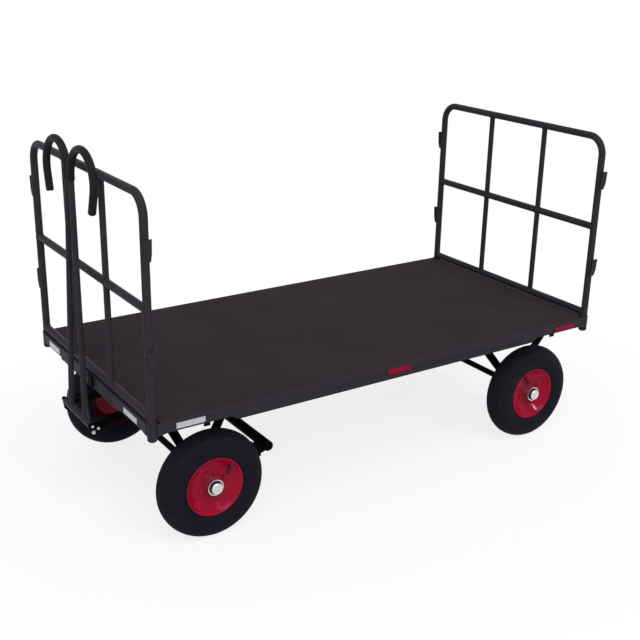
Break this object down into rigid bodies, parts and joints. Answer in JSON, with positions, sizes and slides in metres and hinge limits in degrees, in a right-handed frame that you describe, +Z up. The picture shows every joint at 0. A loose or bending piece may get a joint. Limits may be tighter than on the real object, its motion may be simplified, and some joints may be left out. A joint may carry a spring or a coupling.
{
  "type": "platform trolley",
  "caption": "Hand-drawn platform trolley with a flat deck between tubular end walls, air-filled tyres, a turntable bogie, a hooked upright drawbar and a brake bar.",
  "frame": {"origin": "on the floor, below the middle of the overall box", "axes": "+X forward along the deck to the drawbar, +Y to the left across the deck, +Z up"},
  "size_m": [2.081, 1.0204, 1.3503],
  "materials": {
    "deck_board": "dark film-faced board, matt, lightly scuffed",
    "frame_paint": "anthracite powder coat, satin",
    "chassis_paint": "near-black powder coat, satin",
    "rim_paint": "red gloss enamel",
    "tyre": "black rubber, ribbed tread",
    "zinc_steel": "bright zinc plate",
    "grip_plastic": "black moulded grip, satin",
    "reflector_white": "clear prismatic reflector, blank",
    "reflector_red": "red prismatic reflector, blank"
  },
  "bodies": {
    "trolley": {"deck_board": "deck_board", "side_rail_left": "frame_paint", "side_rail_right": "frame_paint", "end_rail_front": "frame_paint", "end_rail_rear": "frame_paint", "cross_members": "chassis_paint", "corner_sockets": "frame_paint", "wall_front_hoop": "frame_paint", "wall_front_rails": "frame_paint", "wall_front_staves": "frame_paint", "wall_front_pockets": "frame_paint", "wall_rear_hoop": "frame_paint", "wall_rear_rails": "frame_paint", "wall_rear_staves": "frame_paint", "wall_rear_pockets": "frame_paint", "reflectors_white": "reflector_white", "reflectors_red": "reflector_red", "side_markers": "reflector_red", "rail_tabs": "chassis_paint", "drawbar_catch": "chassis_paint", "front_axle": "chassis_paint", "rear_axle": "chassis_paint", "front_axle_nuts": "zinc_steel", "rear_axle_nuts": "zinc_steel", "front_axle_stands": "chassis_paint", "rear_axle_stands": "chassis_paint", "turntable_upper": "chassis_paint", "turntable_lower": "chassis_paint", "bogie_frame": "chassis_paint", "drawbar_arms": "chassis_paint", "hinge_pin": "chassis_paint", "brake_brackets": "chassis_paint"},
    "drawbar": {"drawbar_sleeve": "frame_paint", "drawbar_tube_left": "frame_paint", "drawbar_tube_right": "frame_paint", "handle_grips": "grip_plastic", "drawbar_gussets": "frame_paint"},
    "brake": {"brake_bar": "chassis_paint", "brake_arms": "chassis_paint", "brake_shoes": "chassis_paint"},
    "wheel_front_left": {"tyre_front_left": "tyre", "rim_front_left": "rim_paint", "hub_front_left": "zinc_steel"},
    "wheel_front_right": {"tyre_front_right": "tyre", "rim_front_right": "rim_paint", "hub_front_right": "zinc_steel"},
    "wheel_rear_left": {"tyre_rear_left": "tyre", "rim_rear_left": "rim_paint", "hub_rear_left": "zinc_steel"},
    "wheel_rear_right": {"tyre_rear_right": "tyre", "rim_rear_right": "rim_paint", "hub_rear_right": "zinc_steel"}
  },
  "joints": [
    {"name": "spin_front_left", "type": "hinge", "parent": "trolley", "child": "wheel_front_left", "pos_m": [0.7231, 0.42, 0.2], "axis": [0, 1, 0], "continuous": true},
    {"name": "spin_front_right", "type": "hinge", "parent": "trolley", "child": "wheel_front_right", "pos_m": [0.7231, -0.42, 0.2], "axis": [0, 1, 0], "continuous": true},
    {"name": "spin_rear_left", "type": "hinge", "parent": "trolley", "child": "wheel_rear_left", "pos_m": [-0.7842, 0.42, 0.2], "axis": [0, 1, 0], "continuous": true},
    {"name": "spin_rear_right", "type": "hinge", "parent": "trolley", "child": "wheel_rear_right", "pos_m": [-0.7842, -0.42, 0.2], "axis": [0, 1, 0], "continuous": true},
    {"name": "drawbar_tilt", "type": "hinge", "parent": "trolley", "child": "drawbar", "pos_m": [1.0271, 0, 0.371], "axis": [0, 1, 0], "range_deg": [0, 105]},
    {"name": "brake_swing", "type": "hinge", "parent": "trolley", "child": "brake", "pos_m": [0.5731, 0, 0.3947], "axis": [0, 1, 0], "range_deg": [0, 6.4]}
  ],
  "couplings": [
    {"joint": "brake_swing", "follows": "drawbar_tilt", "ratio": 0.06}
  ]
}
